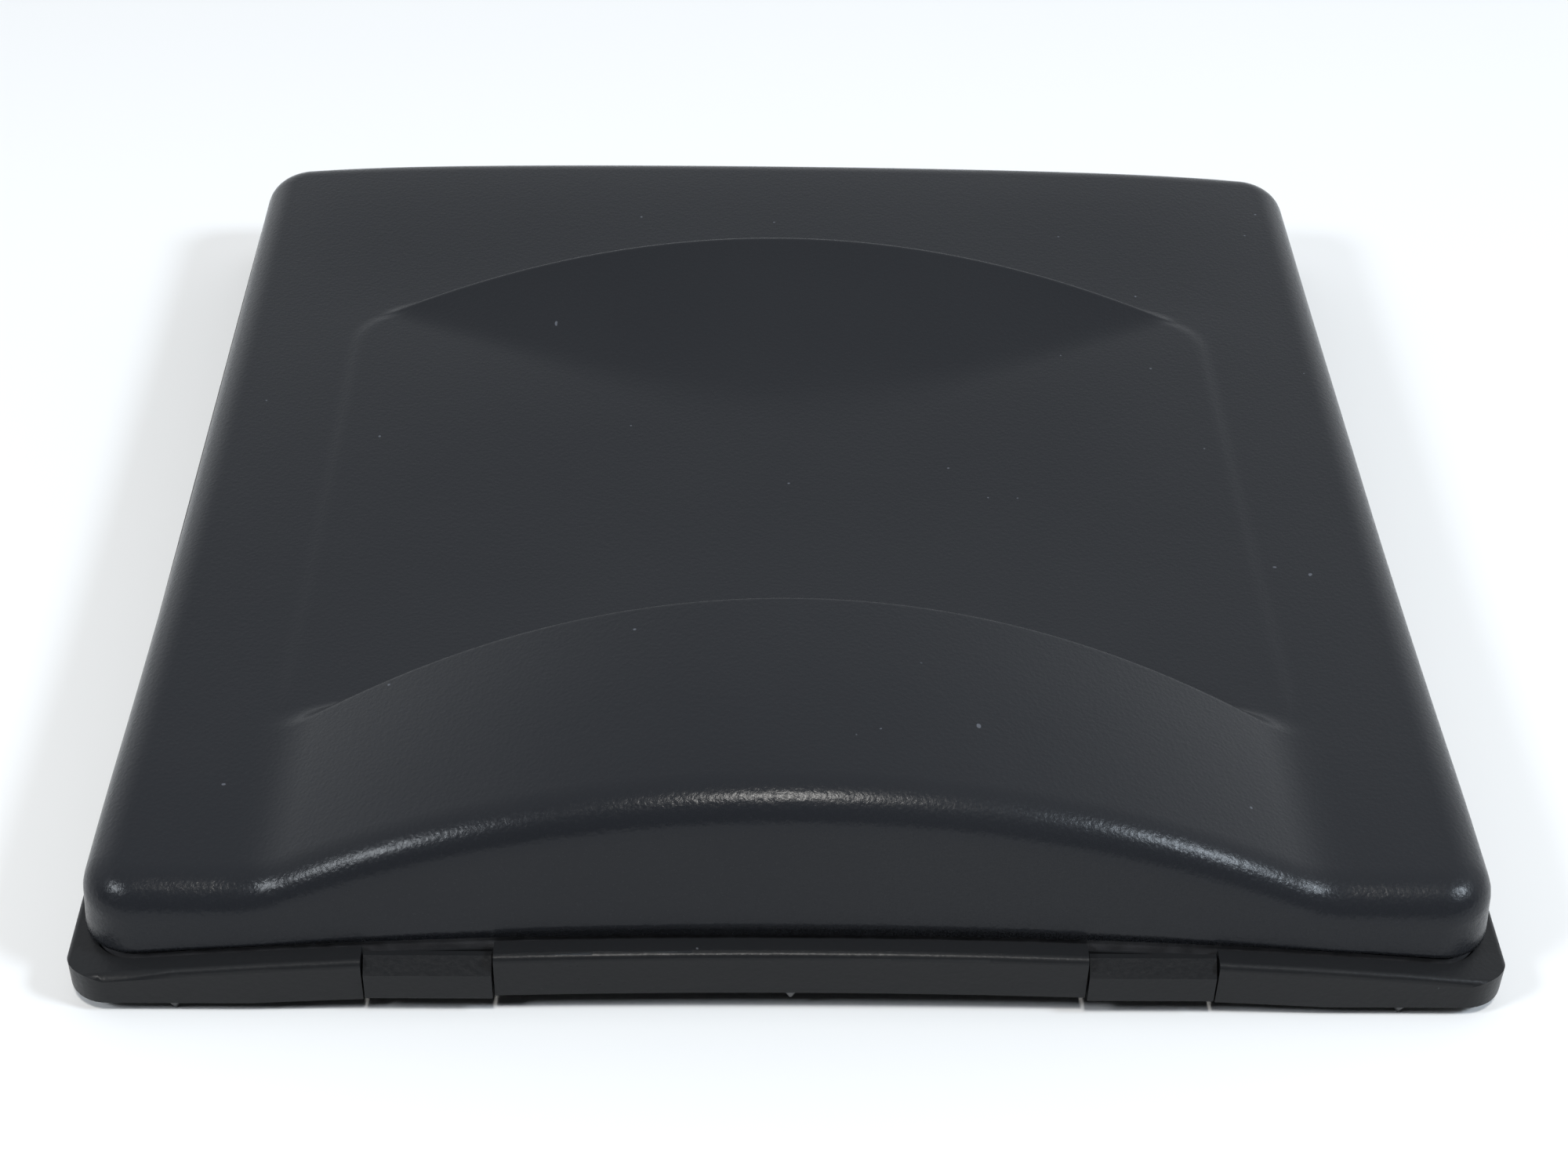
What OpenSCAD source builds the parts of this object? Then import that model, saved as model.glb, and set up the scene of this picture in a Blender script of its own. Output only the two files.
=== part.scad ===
// Low square post cap: a hollow lid with an arched front, clipped onto a base frame that sits on a
// square post. +X is to the right seen from the front, +Y to the rear, +Z up. The origin is at the
// centre of the foot print, level with the tips of the nibs that the cap stands on.

/* [Base frame] */
// Outer width and depth of the base frame
base_w = 201; // [190:1:230]
// Clear width of the socket that takes the post
socket_w = 152.5; // [140:0.5:152.5]
// Height of the rim's top edge at the corners
rim_h = 7; // [6.5:0.1:8]
// Rise of the arched parting line at the middle of the front
parting_rise = 5.3; // [4:0.1:6]

/* [Lid] */
// Step from the rim of the base to the wall of the lid
lid_step = 3; // [2.5:0.1:3.5]
// Height of the lid's flat top
lid_h = 20.6; // [20:0.1:24]
// Radius of the lid's edges
edge_r = 6; // [5:0.5:6]
// Thickness of the lid's walls
lid_t = 2.5; // [2:0.1:3]

/* [Arches] */
// Rise of the arch above the flat top
arch_rise = 18; // [12:0.5:22]
// Half the width of the arch
arch_half = 74; // [65:1:76]
// Depth of the front visor at its middle
visor_depth = 42; // [36:1:50]
// How far the visor's rear edge bows back
visor_bow = 10; // [4:1:14]
// Height of the ridge behind the panel
ridge_rise = 9.7; // [8:0.1:11]
// Distance of the ridge's crest behind the middle
ridge_y = 54; // [50:1:56]

/* [Catches] */
// Distance of each catch from the middle
catch_x = 50; // [45:1:54]
// Width of a catch
catch_w = 17.6; // [14:0.1:18]

/* [Fixings] */
// Hole-to-hole distance of the fixing holes in the ledge
hole_pitch = 132; // [124:1:134]
// Diameter of the fixing holes
hole_d = 5; // [4:0.5:5.5]

/* [Hidden] */
$fn = 64;

charcoal = [0.15, 0.155, 0.17];
frame_grey = [0.125, 0.13, 0.14];
seal_black = [0.04, 0.04, 0.045];
rubber_black = [0.06, 0.06, 0.06];
steel = [0.62, 0.63, 0.65];

half = base_w / 2;
lid_half = half - lid_step;
lid_w = 2 * lid_half;
tall = 80;                        // taller than the whole cap, for cutting tools
eps = 0.01;

// Rim of the base
nib_h = 2.2;
nib_r = 1.4;
nib_x = 85.5;
rim_t = 2.5;
wall_t = 2.2;                     // inner wall below the channel
rim_r = 1;                        // round on the rim's upper outer edge
corner_r = 6;                     // upright corners of the rim, in plan
foot_rise = 2.6;                  // rise of the arched lower edge
foot_half = 75;
web_t = 2;                        // web between the rim's two walls
channel_d = 1.4;                  // depth of the channel that holds the seal
channel_out = lid_half - 0.2;
channel_out_r = 7;
channel_in = lid_half - 3.2;
channel_in_r = 6;
upstand_h = 3.5;                  // height of the inner wall above the rim
upstand_in = lid_half - 5.7;
upstand_in_r = 3.5;

// Lid and seal above the parting line
lid_corner_r = 8.5;               // upright corners of the lid, in plan
lid_gap = 0.9;
seal_h = 2;
seal_side_gap = 0.3;

// Deck, collar and ledge
deck_z = 3.4;
deck_t = 2.2;
collar_half = socket_w / 2;
collar_t = 3;
collar_z = 2.4;
ledge_z = 15.1;
ledge_t = 2.5;
ledge_w = 18.25;
ledge_top = ledge_z + ledge_t;
gusset_t = 1.6;
gusset_h = 11;
gusset_places = [-72, -24, 24, 72];

// Arcs: radius from half a chord and its rise
function arc_r(chord_half, rise) = (chord_half * chord_half + rise * rise) / (2 * rise);
parting_r = arc_r(lid_half, parting_rise);
foot_r = arc_r(foot_half, foot_rise);
arch_r = arc_r(arch_half, arch_rise);
bow_r = arc_r(arch_half, visor_bow);
visor_back = -lid_half + visor_depth;
panel_t = 0.5;                    // how far the flat panel between the arches stands proud
panel_r = 6;
panel_back = 44;

// Ridge: a long hollow ramp in front, a steep slope behind, and a crest that bows back at its middle
ramp_start = 5;
ridge_half = 70;
ridge_run = 6;                    // length of the slope behind the crest
crest_r = 157;                    // radius of the crest in plan
ramp_r = arc_r(ridge_y - ramp_start, ridge_rise);
ramp_end_rise = ramp_r - sqrt(ramp_r * ramp_r - pow(panel_back - ramp_start, 2));
ridge_turn_r = arc_r(ridge_half, ramp_end_rise) - ramp_end_rise;

// Height of the rim's top edge at distance x from the middle
function parting_at(x) = rim_h + parting_rise - parting_r + sqrt(parting_r * parting_r - x * x);

// Catch and pivot
pivot_y = lid_half - 9;
pivot_z = 5;
pin_r = 1;
pin_gap = 0.05;
knuckle_r = 2.2;
ear_t = 3;
ear_gap = 0.5;
tab_out = half + 0.3;
tab_in = lid_half + 0.5;
tab_top = 10.2;
tab_bevel = 2;
arm_low = 3.7;
arm_high = 5.9;
upright_out = lid_half - 7.4;
upright_in = lid_half - 9.6;
upright_top = 16.2;
nose_out = lid_half - 6.1;
nose_low = 14;
lug_in = lid_half - 5.7;
lug_low = 12.3;
lug_h = 1.4;
window_gap = 0.3;
spring_t = 0.5;
spring_w = 10;
spring_end = lid_half - 16.7;

// Screws and pads
screw_r = 2;
screw_hole_r = screw_r + 0.05;
screw_z = 11.4;
screw_len = 10;
screw_tip = 2;
head_r = 3.8;
head_h = 2.4;
boss_r = 3.6;
boss_t = 3;
washer_r = 4;
washer_t = 1;
screw_start = collar_half + 0.4;  // the screws are supplied with their tips short of the socket
pad_l = 40;
pad_h = 8;
pad_z = 4.5;
pad_x = 38;
pad_t = 1.8;
pad_recess = 1.2;

side_angles = [0, 90, 180, 270];  // front, right, rear, left

module rounded_square(w, r) {
    square([w, w - 2 * r], center = true);
    square([w - 2 * r, w], center = true);
    for (sx = [-1, 1], sy = [-1, 1])
        translate([sx * (w / 2 - r), sy * (w / 2 - r)]) circle(r);
}

// Square ring from half-width in_half to half-width out_half, with their corner radii
module ring(out_half, out_r, in_half, in_r, z0, z1) {
    translate([0, 0, z0]) linear_extrude(z1 - z0) difference() {
        rounded_square(2 * out_half, out_r);
        rounded_square(2 * in_half, in_r);
    }
}

// Everything below the arched parting surface, raised by lift
module below_parting(lift) {
    translate([0, base_w, rim_h + parting_rise + lift - parting_r])
        rotate([90, 0, 0]) cylinder(h = 2 * base_w, r = parting_r, $fn = 256);
}

// Upright outline of a block with round upper corners
module round_top_outline(w, r, z0, z1) {
    translate([-w / 2, z0]) square([w, z1 - r - z0]);
    translate([-w / 2 + r, z0]) square([w - 2 * r, z1 - z0]);
    for (s = [-1, 1]) translate([s * (w / 2 - r), z1 - r]) circle(r);
}

// Square block with round vertical and upper edges
module round_block(w, plan_r, r, z0, z1) {
    intersection() {
        translate([0, 0, z0]) linear_extrude(z1 - z0) rounded_square(w, plan_r);
        translate([0, w, 0]) rotate([90, 0, 0]) linear_extrude(2 * w) round_top_outline(w, r, z0, z1);
        translate([-w, 0, 0]) rotate([90, 0, 90]) linear_extrude(2 * w) round_top_outline(w, r, z0, z1);
    }
}

// Barrel along Y with its axis under the arch
module barrel(r, y0, y1) {
    translate([0, y1, lid_h + arch_rise - arch_r])
        rotate([90, 0, 0]) cylinder(h = y1 - y0, r = r, $fn = 256);
}

// Barrel whose front edge is rounded like the rest of the lid
module visor_barrel(r) {
    translate([0, -lid_half, lid_h + arch_rise - arch_r]) rotate([-90, 0, 0]) rotate_extrude($fn = 256) {
        square([r - edge_r, visor_depth]);
        translate([0, edge_r]) square([r, visor_depth - edge_r]);
        translate([r - edge_r, edge_r]) circle(edge_r);
    }
}

// The space above the flat top, between the feet of the arch
module arch_space(side, y0, y1) {
    translate([-side, y0, ledge_top]) cube([2 * side, y1 - y0, tall]);
}

module visor(thin) {
    intersection() {
        if (thin == 0) visor_barrel(arch_r);
        else barrel(arch_r - thin, -lid_half + thin, visor_back);
        translate([0, visor_back - bow_r, 0]) cylinder(h = tall, r = bow_r - thin, $fn = 256);
        arch_space(arch_half - thin, -lid_half + thin, 0);
    }
}

// Ridge behind the panel: its ramp is turned about an axis along Y, and a cone cuts its rear slope
module ridge(thin) {
    front = ramp_start + 8;
    back = ridge_y + ridge_run;
    slope = ridge_run / ridge_rise;
    side_slack = thin * sqrt(1 + slope * slope);
    intersection() {
        translate([0, 0, lid_h - ridge_turn_r]) rotate([-90, 0, 0]) rotate_extrude($fn = 256) difference() {
            translate([0, front]) square([ridge_turn_r + ridge_rise + 1, back - front]);
            translate([ridge_turn_r + ramp_r, ramp_start]) circle(ramp_r + thin, $fn = 256);
        }
        translate([0, ridge_y - crest_r, lid_h - ridge_rise])
            cylinder(h = 3 * ridge_rise, r1 = crest_r + 2 * ridge_run - side_slack,
                r2 = crest_r - ridge_run - side_slack, $fn = 256);
        arch_space(ridge_half + 2 - thin, front, back);
    }
}

module flat_panel() {
    panel_front = visor_back - visor_bow;
    translate([-arch_half, panel_front, lid_h - 1])
        cube([2 * arch_half, panel_back - panel_r - panel_front, 1 + panel_t]);
    translate([-arch_half + panel_r, panel_front, lid_h - 1])
        cube([2 * (arch_half - panel_r), panel_back - panel_front, 1 + panel_t]);
    for (s = [-1, 1]) translate([s * (arch_half - panel_r), panel_back - panel_r, lid_h - 1])
        cylinder(h = 1 + panel_t, r = panel_r);
}

module lid_ribs() {
    rib_t = 1.6;
    rib_h = 2.4;
    reach = collar_half - ledge_w - 2;
    for (p = [-40, -20, 0, 20, 40]) {
        translate([p - rib_t / 2, -reach, lid_h - lid_t - rib_h]) cube([rib_t, 2 * reach, rib_h + 1]);
        translate([-reach, p - rib_t / 2, lid_h - lid_t - rib_h]) cube([2 * reach, rib_t, rib_h + 1]);
    }
}

module catch_lugs() {
    for (sx = [-1, 1], a = [0, 180]) rotate([0, 0, a])
        translate([sx * catch_x - catch_w / 2 + 1, -lid_half + 1, lug_low])
            cube([catch_w - 2, lid_half - 1 - lug_in, lug_h]);
}

module lid_shell() {
    color(charcoal) {
        difference() {
            union() {
                round_block(lid_w, lid_corner_r, edge_r, 2, lid_h);
                visor(0);
                ridge(0);
                flat_panel();
            }
            translate([0, 0, -1]) linear_extrude(lid_h - lid_t + 1)
                rounded_square(lid_w - 2 * lid_t, lid_corner_r - lid_t);
            visor(lid_t);
            ridge(lid_t);
            below_parting(lid_gap);
        }
        lid_ribs();
        catch_lugs();
    }
}

// Everything under the arched parting surface, with round edges at the front, the rear and the sides
module round_below_parting() {
    side_z = parting_at(half);
    intersection() {
        translate([0, -half, rim_h + parting_rise - parting_r]) rotate([-90, 0, 0]) rotate_extrude($fn = 256) {
            square([parting_r - rim_r, base_w]);
            translate([0, rim_r]) square([parting_r, base_w - 2 * rim_r]);
            for (y = [rim_r, base_w - rim_r]) translate([parting_r - rim_r, y]) circle(rim_r);
        }
        translate([0, base_w, 0]) rotate([90, 0, 0]) linear_extrude(2 * base_w) {
            round_top_outline(base_w, rim_r, 0, side_z);
            translate([-half + rim_r, 0]) square([base_w - 2 * rim_r, tall]);
        }
    }
}

module rim() {
    difference() {
        union() {
            intersection() {
                ring(half, corner_r, channel_out, channel_out_r, nib_h, tall);
                round_below_parting();
            }
            intersection() {
                ring(channel_out + eps, channel_out_r, channel_in - eps, channel_in_r, nib_h, tall);
                below_parting(-channel_d);
            }
            intersection() {
                ring(channel_in, channel_in_r, upstand_in, upstand_in_r, nib_h, tall);
                below_parting(upstand_h);
            }
        }
        intersection() {
            ring(half - rim_t, corner_r - rim_t, upstand_in + wall_t, upstand_in_r + wall_t, -1, tall);
            below_parting(-channel_d - web_t);
        }
        translate([0, base_w, nib_h + foot_rise - foot_r])
            rotate([90, 0, 0]) cylinder(h = 2 * base_w, r = foot_r, $fn = 256);
    }
}

module nibs() {
    for (x = [-1, 0, 1], a = [0, 180]) rotate([0, 0, a])
        translate([x * nib_x, -half + nib_r + 0.1, x == 0 ? foot_rise : 0]) {
            cylinder(h = nib_h, r1 = 0.3, r2 = nib_r, $fn = 32);
            translate([0, 0, nib_h - eps]) cylinder(h = 0.4, r = nib_r, $fn = 32);
        }
}

module gussets() {
    for (a = side_angles) rotate([0, 0, a]) for (x = gusset_places)
        translate([x - gusset_t / 2, -upstand_in - 0.5, deck_z])
            cube([gusset_t, upstand_in - collar_half - collar_t + 1, gusset_h - deck_z]);
}

module screw_bosses() {
    for (a = side_angles) rotate([0, 0, a])
        translate([0, -collar_half - collar_t - boss_t, screw_z])
            rotate([-90, 0, 0]) cylinder(h = boss_t + 1, r = boss_r);
}

module pivot_ears() {
    for (sx = [-1, 1], a = [0, 180], s = [-1, 1]) rotate([0, 0, a])
        translate([sx * catch_x + s * (catch_w + ear_t + 2 * ear_gap) / 2, -pivot_y, pivot_z])
            translate([-ear_t / 2, -3.5, -2.6]) cube([ear_t, 6.5, 5.6]);
}

module catch_windows() {
    wide = catch_w + 2 * window_gap;
    pocket_w = catch_w + 2 * ear_gap;
    web_z = parting_at(catch_x + wide / 2) - channel_d - web_t;
    for (sx = [-1, 1], a = [0, 180]) rotate([0, 0, a]) translate([sx * catch_x, 0, 0]) {
        translate([-wide / 2, -half - 1, -1]) cube([wide, 1 + half - channel_out, tall]);
        translate([-pocket_w / 2, -half + 1, -1])
            cube([pocket_w, half - 1 - pivot_y + knuckle_r + 4, 1 + web_z]);
        translate([-pocket_w / 2, -channel_in - eps, web_z + web_t])
            cube([pocket_w, channel_in - upstand_in + 1, tall]);
    }
}

module pivot_bores() {
    reach = catch_w / 2 + ear_gap + ear_t + 1;
    for (sx = [-1, 1], sy = [-1, 1])
        translate([sx * catch_x - reach, sy * pivot_y, pivot_z])
            rotate([0, 90, 0]) cylinder(h = 2 * reach, r = pin_r);
}

module fixing_holes() {
    for (sx = [-1, 1], sy = [-1, 1])
        translate([sx * hole_pitch / 2, sy * hole_pitch / 2, ledge_z - 1])
            cylinder(h = ledge_t + 2, d = hole_d);
}

module screw_holes() {
    for (a = side_angles) rotate([0, 0, a])
        translate([0, -collar_half - collar_t - boss_t - 1, screw_z])
            rotate([-90, 0, 0]) cylinder(h = collar_t + boss_t + 2, r = screw_hole_r);
}

module pad_places() {
    for (s = [-1, 1])
        translate([s * pad_x - pad_l / 2, -collar_half - pad_recess, pad_z])
            children();
}

module base_frame() {
    color(frame_grey) difference() {
        union() {
            rim();
            nibs();
            ring(upstand_in + 0.5, upstand_in_r, collar_half + 1, 1, deck_z, deck_z + deck_t);
            ring(collar_half + collar_t, 4, collar_half, 1, collar_z, ledge_top);
            ring(collar_half + 1, 2, collar_half - ledge_w, 3, ledge_z, ledge_top);
            gussets();
            screw_bosses();
            pivot_ears();
        }
        catch_windows();
        pivot_bores();
        fixing_holes();
        screw_holes();
        for (a = side_angles) rotate([0, 0, a]) pad_places() cube([pad_l, pad_recess + 1, pad_h]);
    }
}

module weather_seal() {
    color(seal_black) difference() {
        intersection() {
            ring(channel_out - seal_side_gap, channel_out_r - seal_side_gap,
                channel_in + seal_side_gap, channel_in_r + seal_side_gap, 0, tall);
            below_parting(seal_h - channel_d);
        }
        below_parting(-channel_d);
    }
}

// One catch at the front, centred on x = 0: press tab, arm, upright and nose in one moulding
module catch_body() {
    difference() {
        union() {
            translate([-catch_w / 2, 0, 0]) rotate([90, 0, 90]) linear_extrude(catch_w) polygon([
                [-tab_out, arm_low],
                [-pivot_y, arm_low],
                [-upright_in, arm_high],
                [-upright_in, upright_top],
                [-upright_out, upright_top],
                [-nose_out, nose_low + 1],
                [-nose_out, nose_low],
                [-upright_out, nose_low],
                [-upright_out, arm_high],
                [-tab_in, arm_high],
                [-tab_in, tab_top],
                [-tab_out + tab_bevel, tab_top],
                [-tab_out, tab_top - tab_bevel]
            ]);
            translate([-catch_w / 2, -pivot_y, pivot_z]) rotate([0, 90, 0]) cylinder(h = catch_w, r = knuckle_r);
        }
        translate([-catch_w, -pivot_y, pivot_z])
            rotate([0, 90, 0]) cylinder(h = 2 * catch_w, r = pin_r + pin_gap);
    }
}

// Bent steel leaf clipped to the back of the upright, drawn as it is when the catch is pressed
module catch_spring() {
    low = 8;
    translate([-spring_w / 2, 0, 0]) rotate([90, 0, 90]) linear_extrude(spring_w) polygon([
        [-upright_in, low],
        [-upright_in + spring_t, low],
        [-spring_end, low + 4],
        [-spring_end, low + 4 + spring_t],
        [-upright_in + spring_t, low + 0.8],
        [-upright_in + spring_t, upright_top - 1],
        [-upright_in, upright_top - 1]
    ]);
}

module pivot_pin() {
    long = catch_w + 2 * (ear_gap + ear_t) - 0.4;
    translate([-long / 2, -pivot_y, pivot_z]) rotate([0, 90, 0]) cylinder(h = long, r = pin_r);
}

// Puts a front piece at one of the four catch places
module at_catch(side, turn) {
    rotate([0, 0, turn]) translate([side * catch_x, 0, 0]) children();
}

module grip_pads(turn) {
    color(rubber_black) rotate([0, 0, turn]) pad_places() cube([pad_l, pad_t, pad_h]);
}

module fixing_screws() {
    color(steel) for (a = side_angles) rotate([0, 0, a]) translate([0, -screw_start, screw_z])
        rotate([90, 0, 0]) difference() {
            union() {
                cylinder(h = screw_tip, r1 = 0.4, r2 = screw_r);
                translate([0, 0, screw_tip]) cylinder(h = screw_len - screw_tip, r = screw_r);
                translate([0, 0, screw_len]) cylinder(h = head_h - 0.8, r = head_r);
                translate([0, 0, screw_len + head_h - 0.8]) cylinder(h = 0.8, r1 = head_r, r2 = head_r - 0.8);
            }
            for (t = [0, 90]) rotate([0, 0, t])
                translate([-0.5, -2.2, screw_len + head_h - 1.2]) cube([1, 4.4, 2]);
        }
}

module screw_washers() {
    color(steel) for (a = side_angles) rotate([0, 0, a])
        translate([0, -screw_start - screw_len + washer_t, screw_z]) rotate([90, 0, 0]) difference() {
            cylinder(h = washer_t, r = washer_r);
            translate([0, 0, -1]) cylinder(h = washer_t + 2, r = screw_r);
        }
}

lid_shell();
base_frame();
weather_seal();
color(charcoal) at_catch(-1, 0) catch_body();  // catch_front_left
color(charcoal) at_catch(1, 0) catch_body();  // catch_front_right
color(charcoal) at_catch(1, 180) catch_body();  // catch_rear_left
color(charcoal) at_catch(-1, 180) catch_body();  // catch_rear_right
color(steel) at_catch(-1, 0) catch_spring();  // spring_front_left
color(steel) at_catch(1, 0) catch_spring();  // spring_front_right
color(steel) at_catch(1, 180) catch_spring();  // spring_rear_left
color(steel) at_catch(-1, 180) catch_spring();  // spring_rear_right
color(steel) at_catch(-1, 0) pivot_pin();  // pivot_pin_front_left
color(steel) at_catch(1, 0) pivot_pin();  // pivot_pin_front_right
color(steel) at_catch(1, 180) pivot_pin();  // pivot_pin_rear_left
color(steel) at_catch(-1, 180) pivot_pin();  // pivot_pin_rear_right
grip_pads(0);  // grip_pads_front
grip_pads(180);  // grip_pads_rear
grip_pads(270);  // grip_pads_left
grip_pads(90);  // grip_pads_right
fixing_screws();
screw_washers();
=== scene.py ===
"""Visual model of a low square post cap: a lid with an arched front, on a base frame with press catches."""

import math

import bmesh
import bpy
import numpy as np
from mathutils import Matrix, Vector


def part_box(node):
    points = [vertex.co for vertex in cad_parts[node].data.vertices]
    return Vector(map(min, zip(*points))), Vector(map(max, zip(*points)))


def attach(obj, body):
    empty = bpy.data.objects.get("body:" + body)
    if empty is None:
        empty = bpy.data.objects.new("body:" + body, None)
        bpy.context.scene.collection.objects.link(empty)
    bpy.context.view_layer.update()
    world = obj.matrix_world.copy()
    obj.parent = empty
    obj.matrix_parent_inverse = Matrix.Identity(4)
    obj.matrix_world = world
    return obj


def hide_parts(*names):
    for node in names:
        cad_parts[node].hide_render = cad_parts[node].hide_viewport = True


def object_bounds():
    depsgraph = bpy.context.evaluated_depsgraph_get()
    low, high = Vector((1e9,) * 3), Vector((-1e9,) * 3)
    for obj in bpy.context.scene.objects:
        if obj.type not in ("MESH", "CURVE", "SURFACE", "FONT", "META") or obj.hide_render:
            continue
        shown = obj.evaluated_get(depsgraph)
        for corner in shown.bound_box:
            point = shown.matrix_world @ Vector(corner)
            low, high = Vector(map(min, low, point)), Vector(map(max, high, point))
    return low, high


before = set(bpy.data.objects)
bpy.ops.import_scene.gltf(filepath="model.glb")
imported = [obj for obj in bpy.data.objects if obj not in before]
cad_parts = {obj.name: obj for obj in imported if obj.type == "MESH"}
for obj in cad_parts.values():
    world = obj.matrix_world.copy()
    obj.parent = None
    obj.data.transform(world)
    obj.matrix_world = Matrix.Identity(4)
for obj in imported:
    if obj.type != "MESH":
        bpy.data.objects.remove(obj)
cad_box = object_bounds()

MM = 0.001
CATCHES = ["front_left", "front_right", "rear_left", "rear_right"]
SIDES = ["front", "rear", "left", "right"]

# ---------------------------------------------------------------- sizes, in metres

lid_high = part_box("lid_shell")[1]

HALF = lid_high[0]                # half the width of the lid
CREST_Z = lid_high[2]
ARCH_RISE = 18 * MM
ARCH_HALF = 74 * MM
FLAT_Z = CREST_Z - ARCH_RISE      # the lid's flat top
EDGE_R = 6 * MM
CORNER_R = 8.5 * MM               # upright corners, in plan
WALL = 2.5 * MM
DRAFT = 0.5 * MM                  # how far the walls lean in from their lower edge to the round top edge
FLAT = HALF - EDGE_R - DRAFT      # half the width of the top inside the round edge

RIM_Z = 7 * MM                    # upper edge of the base's rim at the corners
PARTING_RISE = 5.3 * MM
LID_GAP = 0.88 * MM

VISOR_BACK = -HALF + 42 * MM
VISOR_BOW = 10 * MM
VISOR_DROP = 5 * MM               # run of the steep face behind the visor
VISOR_ROUND = 0.9 * MM
ARCH_SPAN = 72.5 * MM             # half the arch's chord, inside its feet
LIP_DROOP = 0.9 * MM              # how far the top droops towards its front edge
DROOP_RUN = 24 * MM
FOOT_R = 20 * MM                  # hollow curve at each foot of the arch

RIDGE_Y = 54 * MM
RIDGE_RISE = 9.7 * MM
RIDGE_HALF = 70 * MM
RIDGE_RUN = 6 * MM                # run of the slope behind the crest
RAMP_START = 5 * MM
CREST_R = 157 * MM                # radius of the crest in plan
CREST_ROUND = 1.6 * MM
RAMP_ROUND = 0.6 * MM

PANEL_H = 0.35 * MM
PANEL_EDGE = 2.6 * MM             # run of the slope round the panel
PANEL_R = 9 * MM
PANEL_BACK = 44 * MM
CROWN = 1.5 * MM                  # gentle crown across the rear of the lid
CROWN_HALF_RUN = 40 * MM          # the crown grows over twice this run, about the middle of the lid
REAR_LIFT_START = 45 * MM
FLARE = 1.4 * MM                  # how far the sides spread towards the front corners
REAR_LIFT = 1.6 * MM              # how far the lid's top curls up towards its rear edge


def arc_radius(half_chord, rise):
    return (half_chord ** 2 + rise ** 2) / (2 * rise)


ARCH_R = arc_radius(ARCH_SPAN, ARCH_RISE)
BOW_R = arc_radius(ARCH_HALF, VISOR_BOW)
PARTING_R = arc_radius(HALF, PARTING_RISE)
RAMP_R = arc_radius(RIDGE_Y - RAMP_START, RIDGE_RISE)
RAMP_END_RISE = RAMP_R - math.sqrt(RAMP_R ** 2 - (PANEL_BACK - RAMP_START) ** 2)
RIDGE_TURN_R = arc_radius(RIDGE_HALF, RAMP_END_RISE) - RAMP_END_RISE


# ---------------------------------------------------------------- shape of the lid's top

def smooth(t):
    t = np.clip(t, 0, 1)
    return t * t * (3 - 2 * t)


def soft_max(a, b, k):
    """The larger of a and b, with a round of size k where they cross."""
    h = np.clip(0.5 + 0.5 * (a - b) / k, 0, 1)
    return b + (a - b) * h + k * h * (1 - h)


def arch(x):
    """Height of the arch over the flat top, with hollow feet."""
    x = np.abs(x)
    both = ARCH_R + FOOT_R
    foot_end = math.sqrt(both ** 2 - (both - ARCH_RISE) ** 2)
    foot_start = foot_end * ARCH_R / both
    crown = ARCH_RISE - ARCH_R + np.sqrt(ARCH_R ** 2 - np.minimum(x, foot_start) ** 2)
    foot = FOOT_R - np.sqrt(FOOT_R ** 2 - np.clip(foot_end - x, 0, FOOT_R * 0.999) ** 2)
    return np.where(x < foot_start, crown, np.where(x < foot_end, foot, 0.0))


def crease_y(x):
    """Rear edge of the visor."""
    x = np.minimum(np.abs(x), ARCH_HALF)
    return VISOR_BACK - BOW_R + np.sqrt(BOW_R ** 2 - x ** 2)


def visor(x, y):
    return arch(x) * (1 - smooth((y - crease_y(x)) / VISOR_DROP))


def crest_y(x):
    """Place of the ridge's crest."""
    x = np.minimum(np.abs(x), RIDGE_HALF)
    return RIDGE_Y - CREST_R + np.sqrt((CREST_R + 0.6 * RIDGE_RUN * (x / RIDGE_HALF) ** 2) ** 2 - x ** 2)


def ridge(x, y):
    """Long hollow ramp turned about an axis along Y, and a steep cone behind it."""
    run = np.clip(y - RAMP_START, -RAMP_R * 0.9, RAMP_R * 0.9)
    ramp = np.sign(run) * (RAMP_R - np.sqrt(RAMP_R ** 2 - run ** 2))
    front = np.sqrt((RIDGE_TURN_R + ramp) ** 2 - x ** 2) - RIDGE_TURN_R
    beyond = np.hypot(x, y - RIDGE_Y + CREST_R) - CREST_R
    rear = RIDGE_RISE * (1 - beyond / RIDGE_RUN)
    return -soft_max(-front, -rear, CREST_ROUND)


def panel(x, y):
    """Flat panel between the arches, standing just proud of the flat top."""
    front = VISOR_BACK - VISOR_BOW
    mid = (front + PANEL_BACK) / 2
    dx = np.abs(x) - (ARCH_HALF - PANEL_R)
    dy = np.abs(y - mid) - ((PANEL_BACK - front) / 2 - PANEL_R)
    outside = np.hypot(np.maximum(dx, 0), np.maximum(dy, 0)) + np.minimum(np.maximum(dx, dy), 0) - PANEL_R
    return PANEL_H * smooth(0.5 - outside / PANEL_EDGE)


def crown(x, y):
    """Gentle crown across the lid, from the visor to the rear edge, which also curls up."""
    across = 1 - (x / HALF) ** 2
    grown = smooth((y + CROWN_HALF_RUN) / (2 * CROWN_HALF_RUN))
    curl = smooth((y - REAR_LIFT_START) / (FLAT - REAR_LIFT_START))
    return CROWN * across * grown + REAR_LIFT * (1 - (np.abs(x) / HALF) ** 6) * curl


def top_z(x, y):
    h = crown(x, y) + soft_max(panel(x, y), ridge(x, y), RAMP_ROUND)
    droop = LIP_DROOP * np.clip((DROOP_RUN - FLAT - y) / DROOP_RUN, 0, 1) ** 2
    return FLAT_Z + soft_max(h, visor(x, y), VISOR_ROUND) - droop


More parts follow.
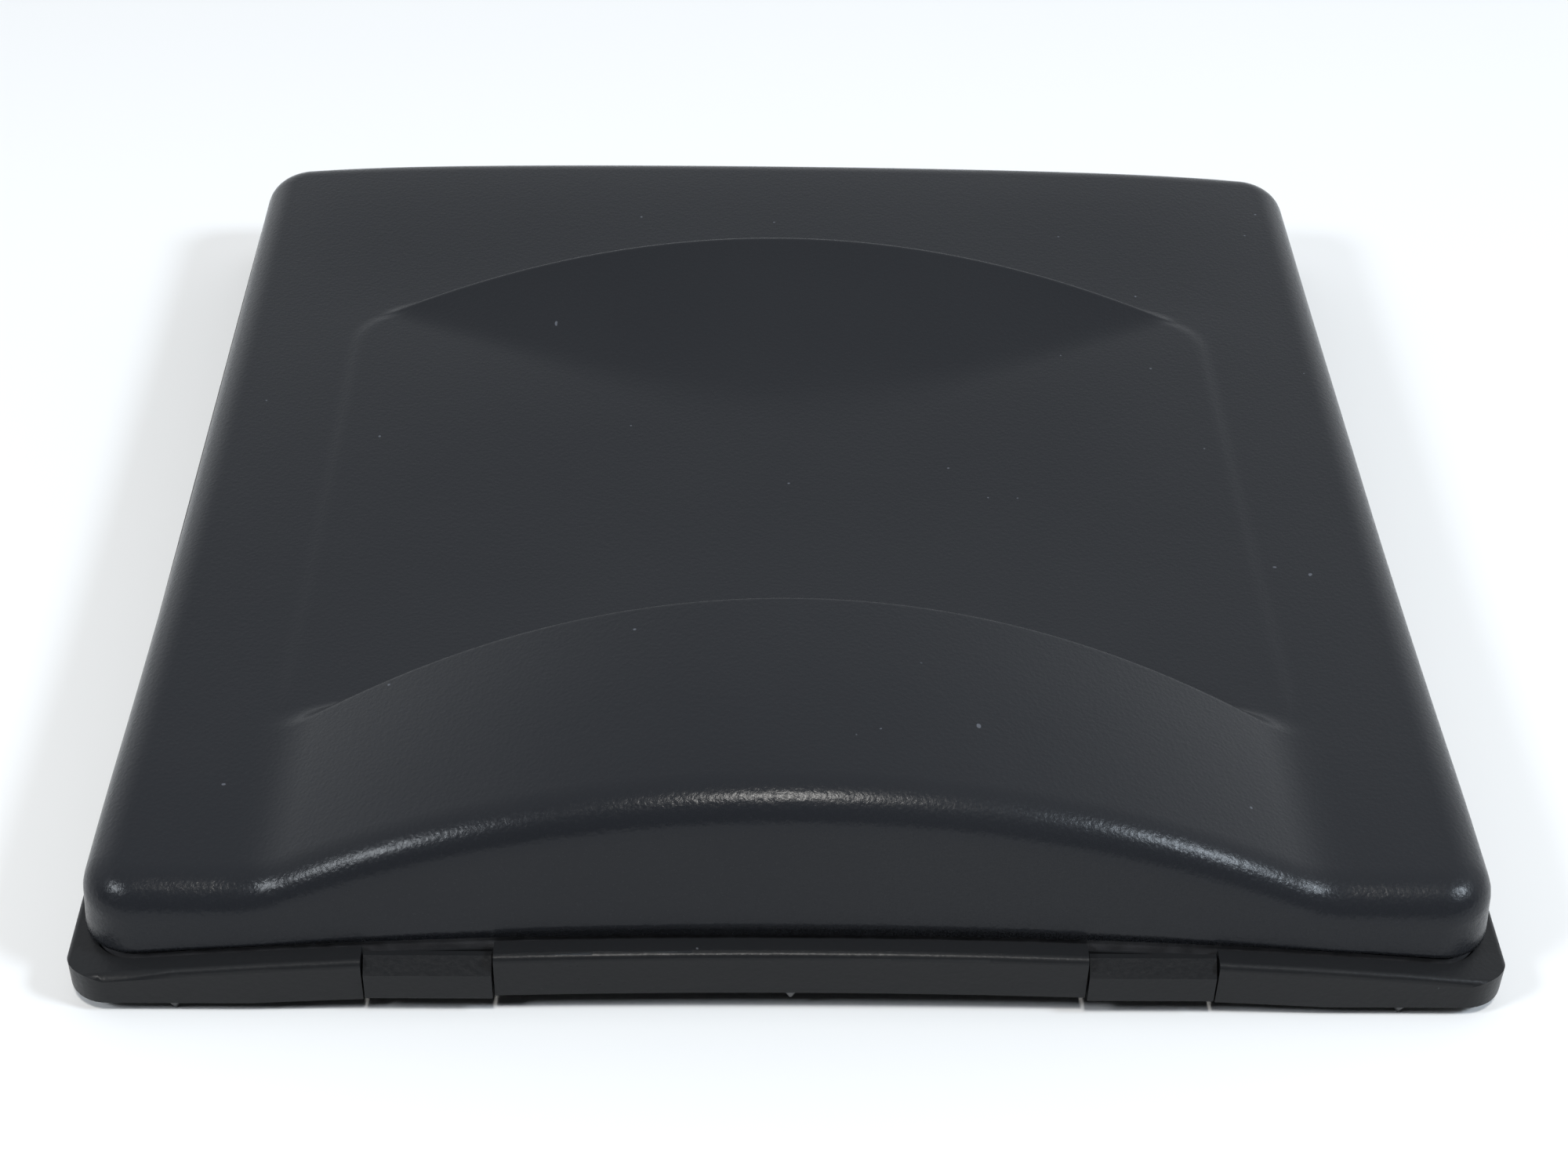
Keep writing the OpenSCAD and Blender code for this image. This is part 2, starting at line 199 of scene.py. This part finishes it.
def parting_z(x):
    """Upper edge of the base's rim, arched across the cap."""
    return RIM_Z + PARTING_RISE - PARTING_R + np.sqrt(PARTING_R ** 2 - np.asarray(x) ** 2)


# ---------------------------------------------------------------- mesh helpers

def new_object(name, verts, faces, smooth_shading=True):
    mesh = bpy.data.meshes.new(name)
    mesh.from_pydata([tuple(v) for v in verts], [], faces)
    mesh.validate()
    mesh.update()
    if smooth_shading:
        mesh.polygons.foreach_set("use_smooth", [True] * len(mesh.polygons))
    obj = bpy.data.objects.new(name, mesh)
    bpy.context.scene.collection.objects.link(obj)
    return obj


def spaced(stops, counts):
    """Values from the first stop to the last, with counts steps between each pair."""
    parts = [np.linspace(a, b, n, endpoint=False) for a, b, n in zip(stops, stops[1:], counts)]
    return np.concatenate(parts + [np.array([stops[-1]])])


# ---------------------------------------------------------------- lid

def round_corners(x, y):
    """Pulls the corners of the square grid in to a quarter circle, and gives the outward direction."""
    corner = CORNER_R - EDGE_R
    u = (np.abs(x) - FLAT + corner) / corner
    v = (np.abs(y) - FLAT + corner) / corner
    both = (u > 0) & (v > 0)
    size = np.hypot(u, v)
    shrink = np.where(both, np.maximum(u, v) / np.where(both, size, 1), 1)
    new_x = np.where(both, FLAT - corner + corner * u * shrink, np.abs(x))
    new_y = np.where(both, FLAT - corner + corner * v * shrink, np.abs(y))
    out_x = np.where(both, u / np.where(both, size, 1), (np.abs(x) >= FLAT) * 1.0)
    out_y = np.where(both, v / np.where(both, size, 1), (np.abs(y) >= FLAT) * 1.0)
    return np.sign(x) * new_x, np.sign(y) * new_y, np.sign(x) * out_x, np.sign(y) * out_y


def lid_mesh():
    """Outer skin of the lid as one open sheet: a grid on top, and rings for the edge and the walls."""
    corner = CORNER_R - EDGE_R
    arch_out, arch_in = ARCH_HALF + 4 * MM, ARCH_HALF - 8 * MM
    xs = spaced([-FLAT, corner - FLAT, -arch_out, -arch_in, arch_in, arch_out, FLAT - corner, FLAT],
                [6, 5, 14, 96, 14, 5, 6])
    counts = [6, 18, 6, 12, 30, 36, 8, 8, 8, 14, 6]
    rows = []
    for x in xs:
        crease = float(crease_y(x))
        crest = float(crest_y(x))
        rows.append(spaced([-FLAT, corner - FLAT, crease - 1.5 * MM, crease + 0.5 * MM, crease + VISOR_DROP,
                            RAMP_START, crest - 2 * MM, crest, crest + 2 * MM, crest + RIDGE_RUN + 2 * MM,
                            FLAT - corner, FLAT], counts))
    ys = np.array(rows)                                   # one row of y for each x
    n_x, n_y = ys.shape
    grid_x = np.repeat(xs[:, None], n_y, axis=1)
    grid_x, ys, out_x, out_y = round_corners(grid_x, ys)
    top = np.stack([grid_x, ys, top_z(grid_x, ys)], axis=-1).reshape(-1, 3)
    out = np.stack([out_x, out_y, 0 * out_x], axis=-1).reshape(-1, 3)

    def at(i, j):
        return i * n_y + j

    faces = [(at(i, j), at(i + 1, j), at(i + 1, j + 1), at(i, j + 1))
             for i in range(n_x - 1) for j in range(n_y - 1)]
    border = [at(i, 0) for i in range(n_x)] + [at(n_x - 1, j) for j in range(1, n_y)]
    border += [at(i, n_y - 1) for i in reversed(range(n_x - 1))]
    border += [at(0, j) for j in reversed(range(1, n_y - 1))]
    start = top[border]
    out = out[border]
    out /= np.linalg.norm(out, axis=1)[:, None]

    # The round edge, which starts at the slope that the droop leaves at the lip
    lean = 2 * LIP_DROOP / DROOP_RUN * np.maximum(-out[:, 1], 0)
    rings = []
    for a in np.linspace(0, math.pi / 2, 15)[1:]:
        turn = lean + (math.pi / 2 - lean) * a / (math.pi / 2)
        outward = (np.sin(turn) - np.sin(lean)) / (1 - np.sin(lean))
        ring = start + out * (EDGE_R * outward)[:, None]
        ring[:, 2] -= EDGE_R * (np.cos(lean) - np.cos(turn))
        rings.append(ring)
    wall = rings[-1]
    # The gap is kept at the wall's inner face, where the parting line is higher
    low = parting_z(np.maximum(np.abs(wall[:, 0]) - WALL, 0)) + LID_GAP
    for f in np.linspace(0, 1, 9)[1:]:
        ring = wall + out * DRAFT * f
        ring[:, 2] = wall[:, 2] + (low - wall[:, 2]) * f
        rings.append(ring)
    verts = np.concatenate([top] + rings)
    verts[:, 0] *= 1 + FLARE / HALF * np.clip(-verts[:, 1] / HALF, 0, 1) ** 2
    previous = border
    for k in range(len(rings)):
        ring = [len(top) + k * len(border) + place for place in range(len(border))]
        for a in range(len(border)):
            b = (a + 1) % len(border)
            faces.append((previous[a], ring[a], ring[b], previous[b]))
        previous = ring
    return new_object("lid_moulding", verts, faces)


def bars(name, boxes, bevel):
    """One mesh of straight bars with rounded edges, from their lowest and highest corners."""
    mesh = bpy.data.meshes.new(name)
    shape = bmesh.new()
    for low, high in boxes:
        middle = (Vector(low) + Vector(high)) / 2
        size = Vector(high) - Vector(low)
        place = Matrix.Translation(middle) @ Matrix.Diagonal((*size, 1))
        bmesh.ops.create_cube(shape, size=1, matrix=place)
    shape.to_mesh(mesh)
    shape.free()
    obj = bpy.data.objects.new(name, mesh)
    bpy.context.scene.collection.objects.link(obj)
    round_edges = obj.modifiers.new("round", "BEVEL")
    round_edges.width = bevel
    round_edges.segments = 2
    return obj


def lid_ribs():
    """Grid of stiffening ribs under the panel, between the hollows of the visor and the ridge."""
    roof = FLAT_Z - WALL + 1.4 * MM
    low = FLAT_Z - WALL - 2.4 * MM
    reach = 56 * MM
    front, rear = -50 * MM, 3 * MM
    half_t = 0.8 * MM
    boxes = []
    for x in (-40 * MM, -20 * MM, 0, 20 * MM, 40 * MM):
        boxes.append(((x - half_t, front, low), (x + half_t, rear, roof)))
    for y in (-40 * MM, -20 * MM, 0):
        boxes.append(((-reach, y - half_t, low), (reach, y + half_t, roof)))
    return bars("lid_ribs", boxes, 0.3 * MM)


def catch_lugs():
    """Ledges inside the lid's walls for the noses of the catches to hook over."""
    lug_low, lug_high = 12.3 * MM, 13.7 * MM
    lug_in, lug_out = 91.8 * MM, HALF - 1.2 * MM
    catch_x, half_w = 50 * MM, 7.8 * MM
    boxes = []
    for side in (-1, 1):
        for front in (-1, 1):
            x = side * catch_x
            y = sorted((front * lug_in, front * lug_out))
            boxes.append(((x - half_w, y[0], lug_low), (x + half_w, y[1], lug_high)))
    return bars("catch_lugs", boxes, 0.3 * MM)


# ---------------------------------------------------------------- materials

RANGE_SOCKETS = ("From Min", "From Max", "To Min", "To Max")


class Nodes:
    """Short names for building a material's node tree."""

    def __init__(self, name):
        self.material = bpy.data.materials.new(name)
        self.material.use_nodes = True
        self.tree = self.material.node_tree
        self.shader = self.tree.nodes["Principled BSDF"]
        self.place = self.tree.nodes.new("ShaderNodeTexCoord").outputs["Object"]

    def link(self, a, b):
        self.tree.links.new(a, b)

    def noise(self, scale, detail=2.0, roughness=0.5):
        node = self.tree.nodes.new("ShaderNodeTexNoise")
        node.inputs["Scale"].default_value = scale
        node.inputs["Detail"].default_value = detail
        node.inputs["Roughness"].default_value = roughness
        self.link(self.place, node.inputs["Vector"])
        return node.outputs["Fac"]

    def cells(self, scale):
        node = self.tree.nodes.new("ShaderNodeTexVoronoi")
        node.inputs["Scale"].default_value = scale
        self.link(self.place, node.inputs["Vector"])
        return node.outputs["Distance"]

    def spread(self, value, low, high, to_low, to_high):
        node = self.tree.nodes.new("ShaderNodeMapRange")
        for socket, number in zip(RANGE_SOCKETS, (low, high, to_low, to_high)):
            node.inputs[socket].default_value = number
        self.link(value, node.inputs["Value"])
        return node.outputs["Result"]

    def mix(self, factor, a, b):
        node = self.tree.nodes.new("ShaderNodeMix")
        node.data_type = "RGBA"
        self.link(factor, node.inputs["Factor"])
        for socket, value in (("A", a), ("B", b)):
            target = next(s for s in node.inputs if s.name == socket and s.type == "RGBA")
            if isinstance(value, tuple):
                target.default_value = (*value, 1)
            else:
                self.link(value, target)
        return next(s for s in node.outputs if s.type == "RGBA")

    def math(self, kind, a, b):
        node = self.tree.nodes.new("ShaderNodeMath")
        node.operation = kind
        for socket, value in zip(node.inputs, (a, b)):
            if isinstance(value, (int, float)):
                socket.default_value = value
            else:
                self.link(value, socket)
        return node.outputs[0]

    def bump(self, height, strength, distance, after=None):
        node = self.tree.nodes.new("ShaderNodeBump")
        node.inputs["Strength"].default_value = strength
        node.inputs["Distance"].default_value = distance
        self.link(height, node.inputs["Height"])
        if after is not None:
            self.link(after, node.inputs["Normal"])
        return node.outputs["Normal"]


def moulded_plastic(name, colour, pale, roughness, specular, grain_size, grain_depth):
    """Charcoal plastic with a fine spark-eroded grain, faint flow mottling and a few dust specks."""
    n = Nodes(name)
    flow = n.noise(14, 3)
    grain = n.noise(1 / grain_size, 3, 0.6)
    pits = n.cells(0.7 / grain_size)
    base = n.mix(n.spread(flow, 0.3, 0.7, 0, 1), colour, pale)
    dust = n.spread(n.noise(650, 0), 0.905, 0.92, 0, 1)     # only the highest peaks of the noise show
    base = n.mix(dust, base, tuple(5 * c for c in pale))
    n.link(base, n.shader.inputs["Base Color"])
    fine = n.spread(grain, 0.3, 0.7, roughness - 0.05, roughness + 0.05)
    n.link(n.math("ADD", n.spread(flow, 0.25, 0.75, -0.03, 0.03), fine), n.shader.inputs["Roughness"])
    n.shader.inputs["Specular IOR Level"].default_value = specular
    height = n.math("ADD", grain, n.math("MULTIPLY", pits, 0.5))
    n.link(n.bump(height, 1.0, grain_depth), n.shader.inputs["Normal"])
    return n.material


def rubber(name, colour):
    n = Nodes(name)
    mottle = n.noise(400, 3)
    pale = tuple(1.8 * c for c in colour)
    n.link(n.mix(n.spread(mottle, 0.3, 0.7, 0, 1), colour, pale), n.shader.inputs["Base Color"])
    n.link(n.spread(mottle, 0.3, 0.7, 0.7, 0.85), n.shader.inputs["Roughness"])
    n.shader.inputs["Specular IOR Level"].default_value = 0.3
    n.link(n.bump(n.noise(3000, 2), 0.4, 0.05 * MM), n.shader.inputs["Normal"])
    return n.material


def steel(name, colour, roughness):
    n = Nodes(name)
    brushed = n.noise(1500, 4, 0.7)
    dark = tuple(0.75 * c for c in colour)
    n.link(n.mix(n.spread(brushed, 0.3, 0.7, 0, 1), colour, dark), n.shader.inputs["Base Color"])
    n.link(n.spread(brushed, 0.3, 0.7, roughness - 0.06, roughness + 0.08), n.shader.inputs["Roughness"])
    n.shader.inputs["Metallic"].default_value = 1.0
    n.link(n.bump(brushed, 0.25, 0.02 * MM), n.shader.inputs["Normal"])
    return n.material


LID_PLASTIC = moulded_plastic("lid_plastic", (0.0122, 0.0132, 0.0158), (0.0146, 0.0156, 0.0182),
                              0.25, 0.155, 0.5 * MM, 0.04 * MM)
FRAME_PLASTIC = moulded_plastic("frame_plastic", (0.0112, 0.0116, 0.0126), (0.0130, 0.0134, 0.0144),
                                0.34, 0.15, 0.6 * MM, 0.03 * MM)
SEAL_RUBBER = rubber("seal_rubber", (0.024, 0.024, 0.026))
PAD_RUBBER = rubber("pad_rubber", (0.016, 0.016, 0.016))
STEEL = steel("plated_steel", (0.62, 0.62, 0.60), 0.32)


def paint(obj, material):
    obj.data.materials.clear()
    obj.data.materials.append(material)


def paint_node(node, material):
    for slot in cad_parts[node].material_slots:
        slot.material = material


# ---------------------------------------------------------------- pieces

lid = lid_mesh()
shell = lid.modifiers.new("wall", "SOLIDIFY")
shell.thickness = WALL
shell.offset = -1
shell.use_even_offset = True
lid_pieces = [lid, lid_ribs(), catch_lugs()]
for piece in lid_pieces:
    paint(piece, LID_PLASTIC)
    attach(piece, "lid")
    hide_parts("lid_shell")

paint_node("base_frame", FRAME_PLASTIC)
paint_node("weather_seal", SEAL_RUBBER)
paint_node("fixing_screws", STEEL)
paint_node("screw_washers", STEEL)
for place in CATCHES:
    paint_node("catch_" + place, FRAME_PLASTIC)
    paint_node("spring_" + place, STEEL)
    paint_node("pivot_pin_" + place, STEEL)
for side in SIDES:
    paint_node("grip_pads_" + side, PAD_RUBBER)


# ---------------------------------------------------------------- floor, light and camera

def add_floor():
    size = 3.0
    floor = new_object("floor", [(-size, -size, 0), (size, -size, 0), (size, size, 0), (-size, size, 0)],
                       [(0, 1, 2, 3)], False)
    clearance = 0.05 * MM
    floor.location.z = cad_box[0][2] - clearance
    material = bpy.data.materials.new("pale_floor")
    material.use_nodes = True
    shader = material.node_tree.nodes["Principled BSDF"]
    shader.inputs["Base Color"].default_value = (0.72, 0.72, 0.72, 1)
    shader.inputs["Roughness"].default_value = 0.9
    shader.inputs["Specular IOR Level"].default_value = 0.1
    paint(floor, material)


def add_light(name, place, size, power, colour):
    data = bpy.data.lights.new(name, "AREA")
    data.shape = "DISK"
    data.size = size
    data.energy = power
    data.color = colour
    light = bpy.data.objects.new(name, data)
    bpy.context.scene.collection.objects.link(light)
    light.location = place
    aim = Vector((0, 0, 0.02)) - Vector(place)
    light.rotation_euler = aim.to_track_quat("-Z", "Y").to_euler()


def add_lights():
    add_light("overhead", (0.02, -0.62, 1.3), 0.18, 11, (1.0, 0.98, 0.94))
    add_light("left", (-1.03, -0.62, 0.98), 0.30, 10, (0.88, 0.94, 1.0))
    add_light("right", (1.06, -0.46, 1.02), 0.30, 14, (0.80, 0.90, 1.0))
    add_world()


def add_world():
    """Soft room light: brightest behind the object, dark in front, and pale where the camera sees it."""
    world = bpy.data.worlds.new("studio")
    world.use_nodes = True
    tree = world.node_tree
    back = tree.nodes["Background"]
    direction = tree.nodes.new("ShaderNodeTexCoord").outputs["Generated"]
    axes = tree.nodes.new("ShaderNodeSeparateXYZ")
    tree.links.new(direction, axes.inputs[0])

    def ramp(value, low, high, to_low, to_high):
        node = tree.nodes.new("ShaderNodeMapRange")
        node.interpolation_type = "SMOOTHSTEP"
        for socket, number in zip(RANGE_SOCKETS, (low, high, to_low, to_high)):
            node.inputs[socket].default_value = number
        tree.links.new(value, node.inputs["Value"])
        return node.outputs["Result"]

    def combine(kind, a, b):
        node = tree.nodes.new("ShaderNodeMath")
        node.operation = kind
        for socket, value in zip(node.inputs, (a, b)):
            if isinstance(value, (int, float)):
                socket.default_value = value
            else:
                tree.links.new(value, socket)
        return node.outputs[0]

    behind = ramp(axes.outputs["Y"], -0.3, 1.0, 0.0, 0.80)
    sideways = ramp(combine("ABSOLUTE", axes.outputs["X"], 0), 0.2, 0.8, 0.0, 0.6)
    sideways = combine("MULTIPLY", sideways, ramp(axes.outputs["Y"], -0.4, 0.1, 0.0, 1.0))
    above = ramp(axes.outputs["Z"], 0.8, 1.0, 0.02, 0.35)
    glow = combine("ADD", combine("ADD", behind, sideways), above)
    camera_glow = 0.9
    seen = tree.nodes.new("ShaderNodeLightPath").outputs["Is Camera Ray"]
    unseen_glow = combine("MULTIPLY", glow, combine("SUBTRACT", 1, seen))
    strength = combine("ADD", unseen_glow, combine("MULTIPLY", seen, camera_glow))
    back.inputs["Color"].default_value = (0.93, 0.965, 1.0, 1)
    tree.links.new(strength, back.inputs["Strength"])
    bpy.context.scene.world = world


def add_camera():
    place = Vector((-0.0097, -0.3477, 0.2780))
    pitch, yaw, roll = (math.radians(a) for a in (39.1, 1.69, 1.49))
    ahead = Vector((math.sin(yaw) * math.cos(pitch), math.cos(yaw) * math.cos(pitch), -math.sin(pitch)))
    right = Vector((math.cos(yaw), -math.sin(yaw), 0))
    up = right.cross(ahead)
    tilted_right = right * math.cos(roll) + up * math.sin(roll)
    tilted_up = up * math.cos(roll) - right * math.sin(roll)
    data = bpy.data.cameras.new("camera")
    data.sensor_width = 36
    data.lens = 60.4
    data.clip_start = 0.01
    camera = bpy.data.objects.new("camera", data)
    camera.matrix_world = Matrix((
        (tilted_right.x, tilted_up.x, -ahead.x, place.x),
        (tilted_right.y, tilted_up.y, -ahead.y, place.y),
        (tilted_right.z, tilted_up.z, -ahead.z, place.z),
        (0, 0, 0, 1),
    ))
    bpy.context.scene.collection.objects.link(camera)
    bpy.context.scene.camera = camera


add_floor()
add_lights()
add_camera()
bpy.context.scene.view_settings.view_transform = "Standard"
